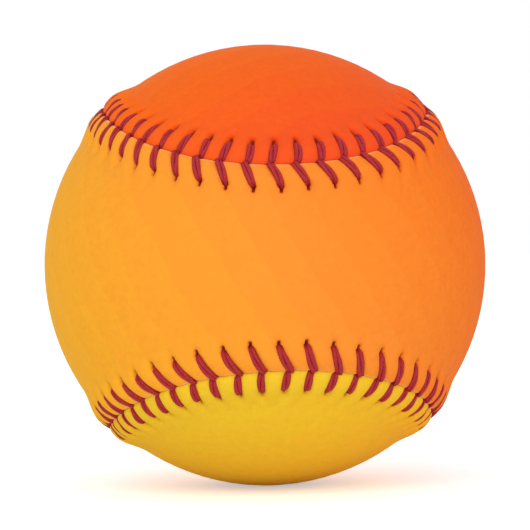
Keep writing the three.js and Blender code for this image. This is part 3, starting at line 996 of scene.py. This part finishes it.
class BALL_OT_windings(bpy.types.Operator):
    """Finish the four yarn windings"""
    bl_idname = "ball.windings"
    bl_label = "Windings"

    def execute(self, context):
        grey = display_colour(124, 127, 136)
        white = display_colour(233, 229, 216)
        finish_white = display_colour(242, 239, 230)
        dress_node("first_winding", wound_yarn("grey_wool_thick", grey, 1.6 * MM))
        dress_node("second_winding", wound_yarn("white_wool", white, 1.2 * MM))
        dress_node("third_winding", wound_yarn("grey_wool", grey, 1.2 * MM))
        dress_node("finish_winding", wound_yarn("finish_yarn", finish_white, 0.5 * MM))
        return {"FINISHED"}


class BALL_OT_stage(bpy.types.Operator):
    """Set the pale floor, the even light and the camera"""
    bl_idname = "ball.stage"
    bl_label = "Stage"

    def execute(self, context):
        scene = context.scene
        studio = scene.ball_studio
        place_camera(scene, studio)
        lay_floor(solids_box[0][2])
        light_dome(scene, studio.dome)
        hang_lamp("key_lamp", studio.key, (-0.2, -0.75, 0.65), 0.8, 0.5)
        hang_lamp("fill_lamp", studio.fill, (0.1, -0.8, 0.1), 1.0, 0.25)
        scene.view_settings.view_transform = "Standard"
        return {"FINISHED"}


def place_camera(scene, studio):
    """The camera, turned, raised, rolled and set back as in the photograph."""
    distance = studio.distance * FIELD_RADIUS
    level = distance * math.cos(studio.elevation)
    position = (
        -level * math.sin(studio.azimuth),
        -level * math.cos(studio.azimuth),
        distance * math.sin(studio.elevation),
    )
    deselect_all()
    bpy.ops.object.camera_add(location=position, rotation=(
        math.pi / 2 - studio.elevation, 0, -studio.azimuth))
    camera = bpy.context.object
    camera.rotation_euler.rotate_axis("Z", -studio.roll)
    limb_slope = math.tan(math.asin(1 / studio.distance))
    half_frame_slope = limb_slope * PHOTO_SIZE / 2 / studio.ball_in_photo
    camera.data.lens = camera.data.sensor_width / 2 / half_frame_slope
    camera.data.clip_start = 0.01
    camera.data.clip_end = 20
    scene.camera = camera


def lay_floor(height):
    """A pale floor under the ball."""
    deselect_all()
    bpy.ops.mesh.primitive_plane_add(size=FLOOR_SIZE, location=(0, 0, height))
    floor = bpy.context.object
    floor.name = "floor"
    bpy.ops.object.transform_apply(location=True)
    finish = Finish("pale_floor")
    speckle = finish.span(finish.noise(40.0), 0.965, 0.985)
    finish.feed(finish.shader.inputs["Base Color"], finish.add(
        "ShaderNodeCombineColor", Red=speckle, Green=speckle, Blue=speckle).outputs[0])
    finish.shader.inputs["Roughness"].default_value = 0.9
    finish.shader.inputs["Specular IOR Level"].default_value = 0.1
    finish.shader.inputs["Emission Color"].default_value = (1, 1, 1, 1)
    seen = finish.add("ShaderNodeLightPath").outputs["Is Camera Ray"]
    # The floor glows a little to every ray, which lights the ball's underside as a lamp would, and much
    # more to the camera, so that it looks white
    glow = finish.math("ADD", finish.math("MULTIPLY", seen, SEEN_GLOW), FLOOR_GLOW)
    finish.feed(finish.shader.inputs["Emission Strength"], glow)
    floor.data.materials.append(finish.material)


def light_dome(scene, strength):
    """Even light from all round, behind which the camera sees plain white."""
    world = bpy.data.worlds.new("studio")
    scene.world = world
    world.use_nodes = True
    tree = world.node_tree
    background = tree.nodes["Background"]
    background.inputs["Color"].default_value = (1, 1, 1, 1)
    path = tree.nodes.new("ShaderNodeLightPath")
    seen = tree.nodes.new("ShaderNodeMath")
    seen.operation = "MAXIMUM"
    tree.links.new(path.outputs["Is Camera Ray"], seen.inputs[0])
    tree.links.new(path.outputs["Is Glossy Ray"], seen.inputs[1])
    through = tree.nodes.new("ShaderNodeMath")
    through.operation = "MAXIMUM"
    tree.links.new(seen.outputs[0], through.inputs[0])
    tree.links.new(path.outputs["Is Transmission Ray"], through.inputs[1])
    level = tree.nodes.new("ShaderNodeMapRange")
    level.inputs["To Min"].default_value = strength
    level.inputs["To Max"].default_value = 1.0
    tree.links.new(through.outputs[0], level.inputs["Value"])
    tree.links.new(level.outputs[0], background.inputs["Strength"])


def hang_lamp(name, power, location, width, height):
    """A soft lamp that faces the ball."""
    deselect_all()
    bpy.ops.object.light_add(type="AREA", location=location)
    lamp = bpy.context.object
    lamp.name = name
    lamp.data.shape = "RECTANGLE"
    lamp.data.size = width
    lamp.data.size_y = height
    lamp.data.energy = power
    lamp.rotation_euler = lamp.location.to_track_quat("Z", "Y").to_euler()


class BALL_PT_sidebar(bpy.types.Panel):
    """The ball's pieces and its studio"""
    bl_idname = "BALL_PT_sidebar"
    bl_label = "Laced Ball"
    bl_space_type = "VIEW_3D"
    bl_region_type = "UI"
    bl_category = "Ball"

    def draw(self, context):
        for operator in OPERATORS:
            self.layout.operator(operator.bl_idname)
        for name, group in SETTINGS.items():
            box = self.layout.box()
            for setting in group.__annotations__:
                box.prop(getattr(context.scene, name), setting)


SETTINGS = {
    "ball_cover": CoverSettings,
    "ball_lacing": LacingSettings,
    "ball_print": PrintSettings,
    "ball_studio": StudioSettings,
}
OPERATORS = (BALL_OT_stage, BALL_OT_pill, BALL_OT_windings, BALL_OT_cover, BALL_OT_lacing)


def register():
    """Adds the settings, the operators and the panel."""
    for name, group in SETTINGS.items():
        bpy.utils.register_class(group)
        setattr(bpy.types.Scene, name, bpy.props.PointerProperty(type=group))
    for operator in OPERATORS:
        bpy.utils.register_class(operator)
    bpy.utils.register_class(BALL_PT_sidebar)


def unregister():
    """Takes them away again."""
    bpy.utils.unregister_class(BALL_PT_sidebar)
    for operator in reversed(OPERATORS):
        bpy.utils.unregister_class(operator)
    for name, group in reversed(SETTINGS.items()):
        delattr(bpy.types.Scene, name)
        bpy.utils.unregister_class(group)


def main():
    """Makes the whole scene."""
    register()
    bpy.ops.ball.stage()
    bpy.ops.ball.pill()
    bpy.ops.ball.windings()
    bpy.ops.ball.cover()
    bpy.ops.ball.lacing()


if __name__ == "__main__":
    main()
